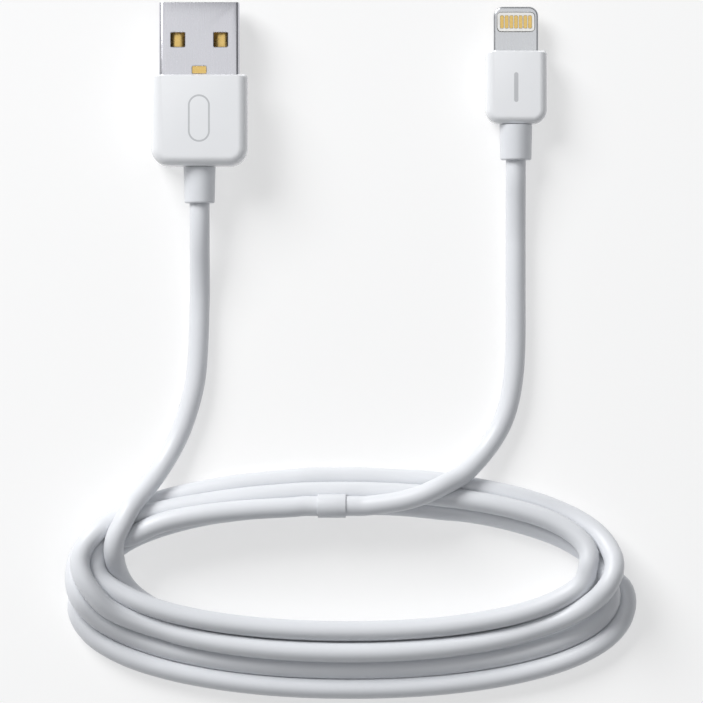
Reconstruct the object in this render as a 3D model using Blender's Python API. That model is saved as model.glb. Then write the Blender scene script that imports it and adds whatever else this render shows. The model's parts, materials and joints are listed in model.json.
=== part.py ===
"""Charging cable: a USB-A plug and a small reversible tab plug on one white cord, laid flat and coiled.

+Z is up and the cable lies on z = 0. Both plugs point along +Y, side by side, and the coil lies
behind their cord ends, towards -Y. The origin is the middle of the two plugs' box, on the surface.
"""

import math

import bmesh
import bpy
from mathutils import Vector

MM = 0.001

# Cord
CORD_DIAMETER = 3.0 * MM
CORD_GAP = 0.3 * MM          # between a cord's solid and what it meets
FIT_GAP = 0.06 * MM          # between two pieces that touch in the real plug
FRONT_ROLL = 0.25 * MM       # how far a grip's front edge is rolled

# USB-A plug, in the standard's width and height
USB_X = -22.4 * MM
USB_Z = 4.0 * MM             # height of the plug's axis, half the overmould's thickness
USB_TIP_Y = 15.0 * MM
USB_SHELL_WIDTH = 12.0 * MM
USB_SHELL_HEIGHT = 4.5 * MM
USB_SHELL_WALL = 0.3 * MM
USB_SHELL_REAR_Y = -1.5 * MM
USB_WINDOW = (2.1 * MM, 2.2 * MM)
USB_WINDOW_OFFSET = 3.2 * MM
USB_WINDOW_Y = 9.4 * MM
USB_NOTCH = (2.1 * MM, 1.1 * MM)
USB_NOTCH_Y = 4.9 * MM
USB_TONGUE_THICKNESS = 1.8 * MM
USB_CARRIER_GAP = 0.15 * MM               # between the shell's rounded inside and the carrier
USB_CONTACT_THICKNESS = 0.25 * MM
USB_CONTACTS = (
    ("power", -3.5 * MM, 13.2 * MM),
    ("data_minus", -1.0 * MM, 12.2 * MM),
    ("data_plus", 1.0 * MM, 12.2 * MM),
    ("ground", 3.5 * MM, 13.2 * MM),
)
USB_BODY_WIDTH = 14.4 * MM
USB_BODY_FRONT_Y = 4.2 * MM
USB_BODY_REAR_Y = -9.5 * MM
USB_BODY_RADII = (0.5 * MM, 2.7 * MM)     # corner radius at the front and at the rear
USB_COLLAR_END_Y = -15.0 * MM
USB_COLLAR_RADII = (2.4 * MM, 2.28 * MM)

# Tab plug, the small flat reversible one
TAB_X = 25.0 * MM
TAB_Z = 2.6 * MM
TAB_TIP_Y = 14.5 * MM
TAB_WIDTH = 6.7 * MM
TAB_THICKNESS = 1.5 * MM
TAB_REAR_Y = 5.2 * MM
TAB_TIP_RADIUS = 1.4 * MM
TAB_INSERT = (5.5 * MM, 2.8 * MM)
TAB_INSERT_Y = 12.2 * MM
TAB_CONTACT_COUNT = 7
TAB_CONTACT_PITCH = 0.7 * MM
TAB_CONTACT = (0.52 * MM, 1.9 * MM, 0.2 * MM)
TAB_BODY_WIDTH = 9.2 * MM
TAB_BODY_FRONT_Y = 7.9 * MM
TAB_BODY_REAR_Y = -3.1 * MM
TAB_BODY_RADII = (0.6 * MM, 2.1 * MM)
TAB_COLLAR_END_Y = -8.5 * MM
TAB_COLLAR_RADII = (2.45 * MM, 2.35 * MM)

# Coil: an oval bundle of turns, with the hole a little off its middle
COIL_CENTRE = (0.3 * MM, -72.3 * MM)
COIL_OUTER = (42.8 * MM, 17.5 * MM)
COIL_HOLE_CENTRE = (0.3 * MM, -69.6 * MM)
COIL_HOLE = (35.6 * MM, 8.1 * MM)
COIL_HEIGHT = 7.2 * MM
COIL_FULLNESS = 2.25                      # 2 is an ellipse, more is fuller at the shoulders

# Keeper sleeve on the innermost strand at the back of the coil
KEEPER_CENTRE = (-2.6 * MM, -60.3 * MM, 5.7 * MM)
KEEPER_LENGTH = 4.2 * MM
KEEPER_RADII = (1.56 * MM, 1.85 * MM)
KEEPER_TRAVEL = 3.0 * MM

# Routes of the two straight leads, from the collar to the coil: x, y, height of the centreline
USB_LEAD_ROUTE = [
    (-22.4, -15.0, 4.0),
    (-22.4, -18.0, 3.85),
    (-22.4, -21.0, 3.4),
    (-22.4, -24.5, 2.5),
    (-22.4, -28.5, 1.7),
    (-22.5, -32.0, 1.5),
    (-22.6, -36.0, 1.5),
    (-23.0, -41.7, 1.5),
    (-23.7, -44.6, 1.5),
    (-24.5, -47.3, 1.6),
    (-25.5, -49.9, 1.9),
    (-26.7, -52.2, 2.5),
    (-28.1, -54.5, 3.4),
    (-29.0, -56.1, 4.1),
]
TAB_LEAD_ROUTE = [
    (25.0, -8.5, 2.6),
    (25.0, -11.5, 2.5),
    (25.0, -15.0, 2.0),
    (25.0, -20.0, 1.5),
    (25.0, -37.0, 1.5),
    (24.8, -40.5, 1.5),
    (24.4, -43.5, 1.5),
    (23.8, -46.2, 1.6),
    (22.7, -48.9, 1.8),
    (21.2, -51.2, 2.2),
    (19.5, -53.3, 2.9),
    (18.7, -54.1, 3.2),
]

WHITE_PLASTIC = ("white_plastic", (0.90, 0.91, 0.93), 0.25, 0.0)
WHITE_CORD = ("white_cord", (0.86, 0.87, 0.90), 0.45, 0.0)
SHELL_STEEL = ("shell_steel", (0.74, 0.74, 0.78), 0.30, 1.0)
TAB_STEEL = ("tab_steel", (0.60, 0.61, 0.64), 0.32, 1.0)
CAN_STEEL = ("can_steel", (0.55, 0.56, 0.58), 0.40, 1.0)
CONTACT_GOLD = ("contact_gold", (0.86, 0.64, 0.28), 0.25, 1.0)
INSULATOR = ("insulator", (0.88, 0.87, 0.84), 0.5, 0.0)
INNER_MOULD = ("inner_mould", (0.80, 0.81, 0.80), 0.5, 0.0)
BOARD_GREEN = ("board_green", (0.05, 0.25, 0.12), 0.45, 0.0)
CHIP_BLACK = ("chip_black", (0.03, 0.03, 0.035), 0.4, 0.0)
CERAMIC = ("ceramic", (0.55, 0.42, 0.30), 0.4, 0.0)
WIRE_COLOURS = {
    "power": ("wire_red", (0.65, 0.04, 0.03), 0.45, 0.0),
    "data_minus": ("wire_white", (0.85, 0.85, 0.82), 0.45, 0.0),
    "data_plus": ("wire_green", (0.03, 0.35, 0.08), 0.45, 0.0),
    "ground": ("wire_black", (0.02, 0.02, 0.02), 0.45, 0.0),
}


# ---------------------------------------------------------------- helpers

def clear_scene():
    for item in list(bpy.data.objects):
        bpy.data.objects.remove(item, do_unlink=True)


def finish_material(finish):
    """The named finish as a material, made once."""
    name, colour, roughness, metallic = finish
    found = bpy.data.materials.get(name)
    if found:
        return found
    made = bpy.data.materials.new(name)
    made.use_nodes = True
    shader = made.node_tree.nodes["Principled BSDF"]
    shader.inputs["Base Color"].default_value = (*colour, 1.0)
    shader.inputs["Roughness"].default_value = roughness
    shader.inputs["Metallic"].default_value = metallic
    return made


def add_object(name, bm, finish, at=(0.0, 0.0, 0.0), smooth=True):
    """Turn a bmesh, modelled around the origin, into a named object placed at a point."""
    bmesh.ops.recalc_face_normals(bm, faces=bm.faces)
    mesh = bpy.data.meshes.new(name)
    bm.to_mesh(mesh)
    bm.free()
    if smooth:
        mesh.shade_smooth()
        mesh.set_sharp_from_angle(angle=math.radians(35))
    made = bpy.data.objects.new(name, mesh)
    made.location = at
    mesh.materials.append(finish_material(finish))
    bpy.context.scene.collection.objects.link(made)
    return made


def empty_at(name, at):
    made = bpy.data.objects.new(name, None)
    made.location = at
    bpy.context.scene.collection.objects.link(made)
    return made


def set_parent(children, parent):
    """Hang the pieces on an empty without moving them."""
    bpy.context.view_layer.update()
    for child in children:
        child.parent = parent
        child.matrix_parent_inverse = parent.matrix_world.inverted()


def loft(loops, closed=False):
    """Skin equal loops of points, in order; the ends are capped unless the last joins the first."""
    bm = bmesh.new()
    rings = [[bm.verts.new(point) for point in loop] for loop in loops]
    count = len(rings[0])
    pairs = list(zip(rings, rings[1:]))
    if closed:
        pairs.append((rings[-1], rings[0]))
    for low, high in pairs:
        for i in range(count):
            j = (i + 1) % count
            bm.faces.new((low[i], low[j], high[j], high[i]))
    if not closed:
        bm.faces.new(list(reversed(rings[0])))
        bm.faces.new(rings[-1])
    return bm


def block(size):
    """A closed box of the given size, around the origin."""
    bm = bmesh.new()
    bmesh.ops.create_cube(bm, size=1.0)
    bmesh.ops.scale(bm, vec=size, verts=bm.verts)
    return bm


def box_between(name, low, high, finish):
    low, high = Vector(low), Vector(high)
    return add_object(name, block(high - low), finish, (low + high) / 2, smooth=False)


def rounded_outline(low, high, radii, steps=4):
    """A rectangle's outline with a radius for each corner, anticlockwise from the low corner."""
    centres = ((low[0], low[1], 180), (high[0], low[1], 270), (high[0], high[1], 0), (low[0], high[1], 90))
    points = []
    for (x, y, start), radius in zip(centres, radii):
        inward_x = radius if x == low[0] else -radius
        inward_y = radius if y == low[1] else -radius
        for step in range(steps + 1):
            angle = math.radians(start + 90 * step / steps)
            points.append(
                (x + inward_x + radius * math.cos(angle), y + inward_y + radius * math.sin(angle))
            )
    return points


def pillow(width, rear, front, thickness, radii, edge, steps=4):
    """A flat body seen from above as a rounded rectangle, with its top and bottom edges rolled.

    The front edge, where the metal comes out, is kept nearly square.
    """
    front_radius, rear_radius = radii
    loops = []
    heights = [(-1, angle) for angle in range(steps + 1)] + [(1, angle) for angle in range(steps, -1, -1)]
    for side, step in heights:
        turn = math.radians(90 * step / steps)
        inset = edge * (1 - math.sin(turn))
        z = side * (thickness / 2 - edge * (1 - math.cos(turn)))
        corner = [max(r - inset, 0.3 * r) for r in (rear_radius, rear_radius, front_radius, front_radius)]
        outline = rounded_outline(
            (-width / 2 + inset, rear + inset),
            (width / 2 - inset, front - min(inset, FRONT_ROLL)), corner, steps
        )
        loops.append([(x, y, z) for x, y in outline])
    return loft(loops)


def rounded_tube_along_y(width, height, wall, rear, front, radius, steps=3):
    """A rectangular tube with rounded edges, open at both ends."""
    outer = rounded_outline((-width / 2, -height / 2), (width / 2, height / 2), [radius] * 4, steps)
    inner = rounded_outline(
        (-width / 2 + wall, -height / 2 + wall),
        (width / 2 - wall, height / 2 - wall),
        [max(radius - wall, radius / 3)] * 4,
        steps,
    )
    loops = [
        [(x, rear, z) for x, z in outer],
        [(x, front, z) for x, z in outer],
        [(x, front, z) for x, z in inner],
        [(x, rear, z) for x, z in inner],
    ]
    return loft(loops, closed=True)


def turned_along_y(stations, sides=20):
    """A solid of revolution about the Y axis: stations are (y, radius), from one end to the other."""
    loops = []
    for y, radius in stations:
        loops.append([
            (radius * math.cos(math.tau * i / sides), y, radius * math.sin(math.tau * i / sides))
            for i in range(sides)
        ])
    return loft(loops)


def ring_along(axis, length, inner_radius, outer_radius, sides=20, lip=0.0):
    """A plain sleeve around the X or Y axis, with its outer edges rounded by a lip."""
    half = length / 2
    stations = [
        (-half, inner_radius), (-half, outer_radius - lip), (-half + lip, outer_radius),
        (half - lip, outer_radius), (half, outer_radius - lip), (half, inner_radius),
    ]
    loops = []
    for along, radius in stations:
        loop = []
        for i in range(sides):
            angle = math.tau * i / sides
            across, up = radius * math.cos(angle), radius * math.sin(angle)
            loop.append((along, across, up) if axis == "X" else (across, along, up))
        loops.append(loop)
    return loft(loops, closed=True)


def cut(target, cutters):
    """Subtract box cutters, given as (low, high), from an object; the cutters stay as hidden guides."""
    for index, (low, high) in enumerate(cutters):
        tool = box_between(f"{target.name}_cutter_{index}", low, high, INSULATOR)
        tool.hide_render = True
        tool.display_type = "WIRE"
        modifier = target.modifiers.new(f"cut_{index}", "BOOLEAN")
        modifier.operation = "DIFFERENCE"
        modifier.object = tool


def smooth_route(points, spacing):
    """Points along a Catmull-Rom curve through the route, roughly a spacing apart."""
    points = [Vector(p) * MM for p in points]
    padded = [2 * points[0] - points[1], *points, 2 * points[-1] - points[-2]]
    route = []
    for before, start, end, after in zip(padded, padded[1:], padded[2:], padded[3:]):
        steps = max(1, round((end - start).length / spacing))
        for step in range(steps):
            t = step / steps
            route.append(0.5 * (
                2 * start + (end - before) * t
                + (2 * before - 5 * start + 4 * end - after) * t ** 2
                + (3 * start - before - 3 * end + after) * t ** 3
            ))
    route.append(points[-1])
    return route


def tube(name, route, diameter, finish):
    """A round cord or wire along a route, with closed ends."""
    data = bpy.data.curves.new(name, "CURVE")
    data.dimensions = "3D"
    data.bevel_depth = diameter / 2
    data.bevel_resolution = 2
    data.use_fill_caps = True
    spline = data.splines.new("POLY")
    spline.points.add(len(route) - 1)
    for slot, point in zip(spline.points, route):
        slot.co = (*point, 1.0)
    data.materials.append(finish_material(finish))
    made = bpy.data.objects.new(name, data)
    bpy.context.scene.collection.objects.link(made)
    return made


# ---------------------------------------------------------------- USB-A plug

def usb_shell():
    """The folded steel shell: an open rectangular tube with latch windows on both faces."""
    at = (USB_X, 0.0, USB_Z)
    shell = add_object(
        "usb_shell",
        rounded_tube_along_y(
            USB_SHELL_WIDTH, USB_SHELL_HEIGHT, USB_SHELL_WALL, USB_SHELL_REAR_Y, USB_TIP_Y, 0.6 * MM
        ),
        SHELL_STEEL, at,
    )
    holes = [
        (USB_X - USB_WINDOW_OFFSET, USB_WINDOW_Y, USB_WINDOW),
        (USB_X + USB_WINDOW_OFFSET, USB_WINDOW_Y, USB_WINDOW),
        (USB_X, USB_NOTCH_Y, USB_NOTCH),
    ]
    reach = USB_SHELL_HEIGHT
    cut(shell, [
        ((x - w / 2, y - h / 2, USB_Z - reach), (x + w / 2, y + h / 2, USB_Z + reach))
        for x, y, (w, h) in holes
    ])
    return shell


def usb_inside():
    """The contact carrier in the shell, the solder tails' capsule, the wires and the crimp."""
    floor = USB_Z - USB_SHELL_HEIGHT / 2 + USB_SHELL_WALL + USB_CARRIER_GAP
    half = USB_SHELL_WIDTH / 2 - USB_SHELL_WALL - USB_CARRIER_GAP
    carrier_rear = -1.0 * MM
    tongue_top = floor + USB_TONGUE_THICKNESS
    contact_bottom = tongue_top + FIT_GAP
    contact_top = contact_bottom + USB_CONTACT_THICKNESS
    ceiling = USB_Z + USB_SHELL_HEIGHT / 2 - USB_SHELL_WALL - USB_CARRIER_GAP
    tongue_front = USB_TIP_Y - 0.6 * MM
    holder_front = 4.1 * MM
    pieces = [
        box_between(
            "usb_tongue", (USB_X - half, carrier_rear, floor),
            (USB_X + half, tongue_front, tongue_top), INSULATOR,
        ),
        box_between(
            "usb_contact_holder", (USB_X - half, carrier_rear, contact_top + FIT_GAP),
            (USB_X + half, holder_front, ceiling), INSULATOR,
        ),
    ]
    tail_y = -3.2 * MM
    contact_half_width = 0.5 * MM
    for name, offset, front in USB_CONTACTS:
        x = USB_X + offset
        pieces.append(box_between(
            f"usb_contact_{name}", (x - contact_half_width, tail_y, contact_bottom),
            (x + contact_half_width, front, contact_top), CONTACT_GOLD,
        ))
    pieces.append(add_object(
        "usb_inner_mould",
        rounded_tube_along_y(11.8 * MM, 5.2 * MM, 0.7 * MM, -6.8 * MM, -1.8 * MM, 0.6 * MM),
        INNER_MOULD, (USB_X, 0.0, USB_Z),
    ))
    wire_diameter = 0.7 * MM
    bundle = 0.45 * MM
    corners = ((-bundle, -bundle), (-bundle, bundle), (bundle, bundle), (bundle, -bundle))
    wire_height = (contact_bottom + contact_top) / 2
    for (name, offset, _), (x, z) in zip(USB_CONTACTS, corners):
        x_mm, z_mm = (USB_X + x) / MM, (USB_Z + z) / MM
        start_x = (USB_X + offset) / MM
        route = smooth_route([
            (start_x, -3.4, wire_height / MM),
            (start_x, -3.9, wire_height / MM),
            ((start_x + x_mm) / 2, -5.3, (wire_height / MM + z_mm) / 2),
            (x_mm, -6.9, z_mm),
            (x_mm, -8.1, z_mm),
        ], 1.0 * MM)
        pieces.append(tube(f"usb_wire_{name}", route, wire_diameter, WIRE_COLOURS[name]))
    pieces.append(add_object(
        "usb_crimp_ring", ring_along("Y", 1.1 * MM, 1.3 * MM, 1.75 * MM), CAN_STEEL,
        (USB_X, -7.6 * MM, USB_Z),
    ))
    return pieces


def usb_overmould():
    """The moulded grip, with a cavity for the plug's inside that opens around the shell."""
    body = add_object(
        "usb_overmould",
        pillow(USB_BODY_WIDTH, USB_BODY_REAR_Y, USB_BODY_FRONT_Y, 2 * USB_Z, USB_BODY_RADII, 1.5 * MM),
        WHITE_PLASTIC, (USB_X, 0.0, USB_Z),
    )
    cavity_x, cavity_z = 6.15 * MM, 2.9 * MM
    mouth_x = USB_SHELL_WIDTH / 2 + FIT_GAP
    mouth_z = USB_SHELL_HEIGHT / 2 + FIT_GAP
    front_wall = 1.0 * MM
    cut(body, [
        ((USB_X - cavity_x, -8.5 * MM, USB_Z - cavity_z),
         (USB_X + cavity_x, USB_BODY_FRONT_Y - front_wall, USB_Z + cavity_z)),
        ((USB_X - mouth_x, -1.0 * MM, USB_Z - mouth_z),
         (USB_X + mouth_x, USB_BODY_FRONT_Y + front_wall, USB_Z + mouth_z)),
    ])
    return body


def collar(name, x, z, front, end, radii):
    """A strain relief: a short, slightly tapered boss with a rounded end, where the cord comes out."""
    wide, narrow = radii
    roll = 0.35 * MM
    stations = [(front - FIT_GAP, wide), (end + roll, narrow)]
    for step in (1, 2, 3):
        turn = math.radians(30 * step)
        stations.append((end + roll * (1 - math.sin(turn)), narrow - roll * (1 - math.cos(turn))))
    return add_object(name, turned_along_y(stations), WHITE_PLASTIC, (x, 0.0, z))


def build_usb_plug():
    swing = empty_at("usb_plug_swing", (USB_X, USB_COLLAR_END_Y, USB_Z))
    pieces = [
        usb_shell(),
        *usb_inside(),
        usb_overmould(),
        collar("usb_collar", USB_X, USB_Z, USB_BODY_REAR_Y, USB_COLLAR_END_Y, USB_COLLAR_RADII),
    ]
    set_parent(pieces, swing)


# ---------------------------------------------------------------- tab plug

def tab_outline(steps=5):
    """The tab from above: square at the rear, rounded at the tip."""
    small = 0.1 * MM
    return rounded_outline(
        (-TAB_WIDTH / 2, TAB_REAR_Y), (TAB_WIDTH / 2, TAB_TIP_Y),
        [small, small, TAB_TIP_RADIUS, TAB_TIP_RADIUS], steps,
    )


def tab_frame():
    """The plated steel frame of the tab, with a window that holds the contact insert."""
    half = TAB_THICKNESS / 2
    edge = 0.25 * MM
    outline = tab_outline()
    middle_y = (TAB_REAR_Y + TAB_TIP_Y) / 2
    shrink_x = 1 - 2 * edge / TAB_WIDTH
    shrink_y = 1 - 2 * edge / (TAB_TIP_Y - TAB_REAR_Y)
    inset = [(x * shrink_x, middle_y + (y - middle_y) * shrink_y) for x, y in outline]
    layers = ((inset, -half), (outline, -half + edge), (outline, half - edge), (inset, half))
    loops = [[(x, y, z) for x, y in shape] for shape, z in layers]
    frame = add_object("tab_frame", loft(loops), TAB_STEEL, (TAB_X, 0.0, TAB_Z))
    reach_x = TAB_INSERT[0] / 2 + FIT_GAP
    reach_y = TAB_INSERT[1] / 2 + FIT_GAP
    cut(frame, [(
        (TAB_X - reach_x, TAB_INSERT_Y - reach_y, TAB_Z - TAB_THICKNESS),
        (TAB_X + reach_x, TAB_INSERT_Y + reach_y, TAB_Z + TAB_THICKNESS),
    )])
    return frame


def tab_contact_places():
    """Each contact's name and centre, above and below the insert."""
    _, _, thickness = TAB_CONTACT
    first = -TAB_CONTACT_PITCH * (TAB_CONTACT_COUNT - 1) / 2
    for side, name in ((1, "upper"), (-1, "lower")):
        for index in range(TAB_CONTACT_COUNT):
            x = TAB_X + first + TAB_CONTACT_PITCH * index
            z = TAB_Z + side * (TAB_THICKNESS - thickness) / 2
            yield f"tab_contact_{name}_{index + 1}", side, Vector((x, TAB_INSERT_Y, z))


def tab_insert():
    """The moulded insert with a row of contacts in its pockets on each face."""
    half = Vector((TAB_INSERT[0] / 2, TAB_INSERT[1] / 2, TAB_THICKNESS / 2))
    centre = Vector((TAB_X, TAB_INSERT_Y, TAB_Z))
    insert = box_between("tab_insert", centre - half, centre + half, INSULATOR)
    pieces = [insert]
    pockets = []
    width, length, thickness = TAB_CONTACT
    for name, side, at in tab_contact_places():
        size = Vector((width, length, thickness))
        pieces.append(add_object(name, block(size), CONTACT_GOLD, at, smooth=False))
        low = at - size / 2 - Vector((FIT_GAP, FIT_GAP, FIT_GAP if side > 0 else thickness))
        high = at + size / 2 + Vector((FIT_GAP, FIT_GAP, FIT_GAP if side < 0 else thickness))
        pockets.append((low, high))
    cut(insert, pockets)
    return pieces


def tab_inside():
    """The control board with its chip and capacitor, the screening can, the wires and the crimp."""
    board_rear, board_front = 0.4 * MM, 4.7 * MM
    board_half = 2.6 * MM
    board_z = (TAB_Z - 0.3 * MM, TAB_Z + 0.3 * MM)
    top = board_z[1] + FIT_GAP
    pieces = [
        box_between(
            "tab_board", (TAB_X - board_half, board_rear, board_z[0]),
            (TAB_X + board_half, board_front, board_z[1]), BOARD_GREEN,
        ),
        box_between(
            "tab_control_chip", (TAB_X - 2.1 * MM, 1.4 * MM, top),
            (TAB_X + 0.5 * MM, 4.0 * MM, top + 0.7 * MM), CHIP_BLACK,
        ),
        box_between(
            "tab_capacitor", (TAB_X + 1.2 * MM, 1.8 * MM, top),
            (TAB_X + 1.8 * MM, 3.0 * MM, top + 0.5 * MM), CERAMIC,
        ),
        add_object(
            "tab_screening_can",
            rounded_tube_along_y(7.0 * MM, 3.4 * MM, 0.25 * MM, 0.3 * MM, 4.8 * MM, 0.5 * MM),
            CAN_STEEL, (TAB_X, 0.0, TAB_Z),
        ),
    ]
    bundle = 0.38 * MM
    corners = ((-bundle, -bundle), (-bundle, bundle), (bundle, bundle), (bundle, -bundle))
    starts = (-1.5, -0.5, 0.5, 1.5)
    for (name, _, _), (x, z), start in zip(USB_CONTACTS, corners, starts):
        x_mm, z_mm = (TAB_X + x) / MM, (TAB_Z + z) / MM
        start_x = TAB_X / MM + start
        route = smooth_route([
            (start_x, 0.1, TAB_Z / MM),
            ((start_x + x_mm) / 2, -0.6, (TAB_Z / MM + z_mm) / 2),
            (x_mm, -1.3, z_mm),
            (x_mm, -2.1, z_mm),
        ], 0.7 * MM)
        pieces.append(tube(f"tab_wire_{name}", route, 0.5 * MM, WIRE_COLOURS[name]))
    pieces.append(add_object(
        "tab_crimp_ring", ring_along("Y", 0.7 * MM, 0.9 * MM, 1.25 * MM), CAN_STEEL,
        (TAB_X, -1.75 * MM, TAB_Z),
    ))
    return pieces


def tab_overmould():
    body = add_object(
        "tab_overmould",
        pillow(TAB_BODY_WIDTH, TAB_BODY_REAR_Y, TAB_BODY_FRONT_Y, 2 * TAB_Z, TAB_BODY_RADII, 1.2 * MM),
        WHITE_PLASTIC, (TAB_X, 0.0, TAB_Z),
    )
    cavity_x, cavity_z = 3.8 * MM, 1.8 * MM
    mouth_x = TAB_WIDTH / 2 + FIT_GAP
    mouth_z = TAB_THICKNESS / 2 + FIT_GAP
    front_wall = 1.0 * MM
    cut(body, [
        ((TAB_X - cavity_x, -2.4 * MM, TAB_Z - cavity_z),
         (TAB_X + cavity_x, TAB_BODY_FRONT_Y - front_wall, TAB_Z + cavity_z)),
        ((TAB_X - mouth_x, TAB_REAR_Y - FIT_GAP, TAB_Z - mouth_z),
         (TAB_X + mouth_x, TAB_BODY_FRONT_Y + front_wall, TAB_Z + mouth_z)),
    ])
    return body


def build_tab_plug():
    swing = empty_at("tab_plug_swing", (TAB_X, TAB_COLLAR_END_Y, TAB_Z))
    pieces = [
        tab_frame(),
        *tab_insert(),
        *tab_inside(),
        tab_overmould(),
        collar("tab_collar", TAB_X, TAB_Z, TAB_BODY_REAR_Y, TAB_COLLAR_END_Y, TAB_COLLAR_RADII),
    ]
    set_parent(pieces, swing)


# ---------------------------------------------------------------- cord

def oval(centre, half_axes, angle):
    """A point of a superellipse, fuller than an ellipse at its shoulders."""
    power = 2 / COIL_FULLNESS
    cosine, sine = math.cos(angle), math.sin(angle)
    x = centre[0] + half_axes[0] * math.copysign(abs(cosine) ** power, cosine)
    y = centre[1] + half_axes[1] * math.copysign(abs(sine) ** power, sine)
    return Vector((x, y, 0.0))


def coil_solid():
    """The coiled bundle's outer shape: an oval ring with rolled edges and a slot for the keeper."""
    turns = 64
    roll = 1.5 * MM
    corner = 0.3 * roll
    loops = []
    for step in range(turns):
        angle = math.tau * step / turns
        outer = oval(COIL_CENTRE, COIL_OUTER, angle)
        inner = oval(COIL_HOLE_CENTRE, COIL_HOLE, angle)
        inward = (inner - outer).normalized()
        section = [
            (outer + inward * roll, 0.0), (outer + inward * corner, corner), (outer, roll),
            (outer, COIL_HEIGHT - roll), (outer + inward * corner, COIL_HEIGHT - corner),
            (outer + inward * roll, COIL_HEIGHT), (inner - inward * roll, COIL_HEIGHT),
            (inner - inward * corner, COIL_HEIGHT - corner), (inner, COIL_HEIGHT - roll),
            (inner, roll), (inner - inward * corner, corner), (inner - inward * roll, 0.0),
        ]
        loops.append([(place.x, place.y, z) for place, z in section])
    ring = add_object("cord_coil", loft(loops, closed=True), WHITE_CORD)
    slot_half = KEEPER_LENGTH / 2 + KEEPER_TRAVEL + CORD_GAP
    slot_back = KEEPER_CENTRE[1] + KEEPER_RADII[1] + CORD_GAP
    slot_floor = KEEPER_CENTRE[2] - KEEPER_RADII[1] - CORD_GAP
    cut(ring, [(
        (KEEPER_CENTRE[0] - slot_half, COIL_HOLE_CENTRE[1], slot_floor),
        (KEEPER_CENTRE[0] + slot_half, slot_back, 2 * COIL_HEIGHT),
    )])
    return ring


def lead(name, route):
    """The uncoiled stretch from a collar to the coil, starting a gap away from the collar."""
    points = smooth_route(route, 2.5 * CORD_DIAMETER)
    start = points[0] + (points[1] - points[0]).normalized() * CORD_GAP
    return tube(name, [start, *points[1:]], CORD_DIAMETER, WHITE_CORD)


def build_cord():
    coil_solid()
    lead("usb_lead", USB_LEAD_ROUTE)
    lead("tab_lead", TAB_LEAD_ROUTE)
    add_object(
        "keeper_sleeve",
        ring_along("X", KEEPER_LENGTH, KEEPER_RADII[0], KEEPER_RADII[1], sides=24, lip=0.2 * MM),
        WHITE_PLASTIC, KEEPER_CENTRE,
    )


clear_scene()
build_usb_plug()
build_tab_plug()
build_cord()
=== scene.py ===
# %% [markdown]
# # A coiled charging cable
#
# The cable lies flat: a large rectangular plug and a small reversible tab plug point the same way,
# and the white cord between them is wound into an oval coil of about four turns.
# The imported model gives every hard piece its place. This lesson gives the pieces their surfaces,
# lays the real cord in the place of the plain solids, and lights the whole like a catalogue page.

# %% Load the frame
import json
import math

import bmesh
import bpy
import numpy as np
from mathutils import Matrix, Vector

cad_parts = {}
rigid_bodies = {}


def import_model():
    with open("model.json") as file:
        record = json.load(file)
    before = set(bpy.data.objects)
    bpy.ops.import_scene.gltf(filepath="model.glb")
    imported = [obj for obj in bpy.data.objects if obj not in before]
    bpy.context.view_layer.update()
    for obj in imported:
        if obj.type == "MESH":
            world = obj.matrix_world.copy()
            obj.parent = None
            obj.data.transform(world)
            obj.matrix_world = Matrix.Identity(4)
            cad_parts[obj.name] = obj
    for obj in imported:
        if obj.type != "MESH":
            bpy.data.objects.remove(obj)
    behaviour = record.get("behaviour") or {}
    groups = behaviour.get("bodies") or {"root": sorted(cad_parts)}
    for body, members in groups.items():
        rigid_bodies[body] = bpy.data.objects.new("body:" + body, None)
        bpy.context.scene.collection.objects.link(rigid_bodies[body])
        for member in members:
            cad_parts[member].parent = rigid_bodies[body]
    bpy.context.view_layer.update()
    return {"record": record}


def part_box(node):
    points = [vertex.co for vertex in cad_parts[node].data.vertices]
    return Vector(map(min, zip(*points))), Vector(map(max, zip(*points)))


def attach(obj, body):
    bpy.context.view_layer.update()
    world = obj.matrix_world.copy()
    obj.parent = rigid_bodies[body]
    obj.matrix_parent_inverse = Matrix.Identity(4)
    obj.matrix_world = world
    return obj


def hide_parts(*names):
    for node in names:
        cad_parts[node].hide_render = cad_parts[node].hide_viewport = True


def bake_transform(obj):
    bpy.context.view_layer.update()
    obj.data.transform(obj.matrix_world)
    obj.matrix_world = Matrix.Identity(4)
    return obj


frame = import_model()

MM = 0.001

# %% [markdown]
# The camera looks straight down on the cable from far away, with a long lens, so that nothing
# leans outward.

# %% Camera
VIEW_CENTRE = Vector((0.35, -37.2, 3.0)) * MM
VIEW_WIDTH = 105.4 * MM
CAMERA_DISTANCE = 0.9
SENSOR_WIDTH = 36.0


def add_to_scene(name, data):
    made = bpy.data.objects.new(name, data)
    bpy.context.scene.collection.objects.link(made)
    return made


def add_camera():
    data = bpy.data.cameras.new("camera")
    data.sensor_width = SENSOR_WIDTH
    data.lens = SENSOR_WIDTH * CAMERA_DISTANCE / VIEW_WIDTH
    data.clip_start, data.clip_end = 0.01, 20.0
    camera = add_to_scene("camera", data)
    camera.location = VIEW_CENTRE + Vector((0.0, 0.0, CAMERA_DISTANCE))
    bpy.context.scene.camera = camera
    print("the lens is", round(data.lens), "mm long, and stands", CAMERA_DISTANCE, "m away")


add_camera()

# %% [markdown]
# A round white cord only reads as round when one of its sides is bright and the other falls off
# to grey, so the key light comes from the upper left. A wider panel overhead fills the shadows.
# The floor is a pale sheet on a dim light table: part of its white is its own glow, which keeps
# the shadows between the turns light.

# %% Light and floor
PANELS = {                 # each soft light's place, width and power
    "key_panel": ((-0.62, 0.70, 0.64), 0.6, 13.5),
    "top_panel": ((0.0, 0.0, 1.3), 1.2, 3.6),
}
SKY_COLOUR, SKY_STRENGTH = (0.93, 0.96, 1.0, 1.0), 0.17
FLOOR_HALF = 1.5
FLOOR_GREY, FLOOR_GLOW = 0.46, 0.53


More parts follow.
